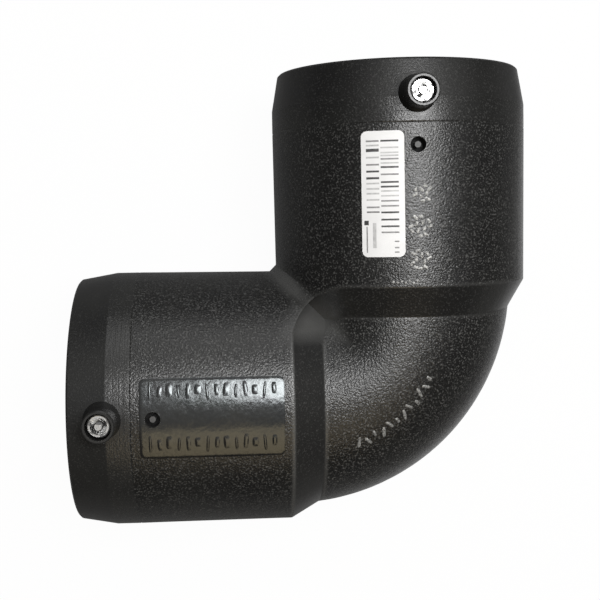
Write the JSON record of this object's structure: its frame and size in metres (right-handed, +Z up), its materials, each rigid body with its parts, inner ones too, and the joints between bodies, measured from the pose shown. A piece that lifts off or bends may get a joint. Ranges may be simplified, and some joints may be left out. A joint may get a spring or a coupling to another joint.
{
  "type": "electrofusion pipe elbow",
  "caption": "Right-angle pipe elbow in black polyethylene, with a deep socket, a moulded-in heating coil and a shrouded terminal on each arm.",
  "frame": {"origin": "middle of the base, where the elbow lies on its side", "axes": "+Y out of the upper socket, -X out of the left socket, +Z up, the way that the terminals stand"},
  "size_m": [0.207, 0.207, 0.1292],
  "materials": {
    "black_polyethylene": "spark-eroded moulding, satin, smoother at the mouths",
    "resistance_wire": "drawn wire",
    "plated_metal": "bright turned and plated",
    "grey_polyethylene": "moulded",
    "white_film": "printed self-adhesive film"
  },
  "bodies": {
    "root": {"elbow_body": "black_polyethylene", "heating_wire": "resistance_wire", "upper_terminal": "plated_metal", "left_terminal": "plated_metal", "upper_indicator": "grey_polyethylene", "left_indicator": "grey_polyethylene", "label": "white_film"}
  },
  "joints": []
}
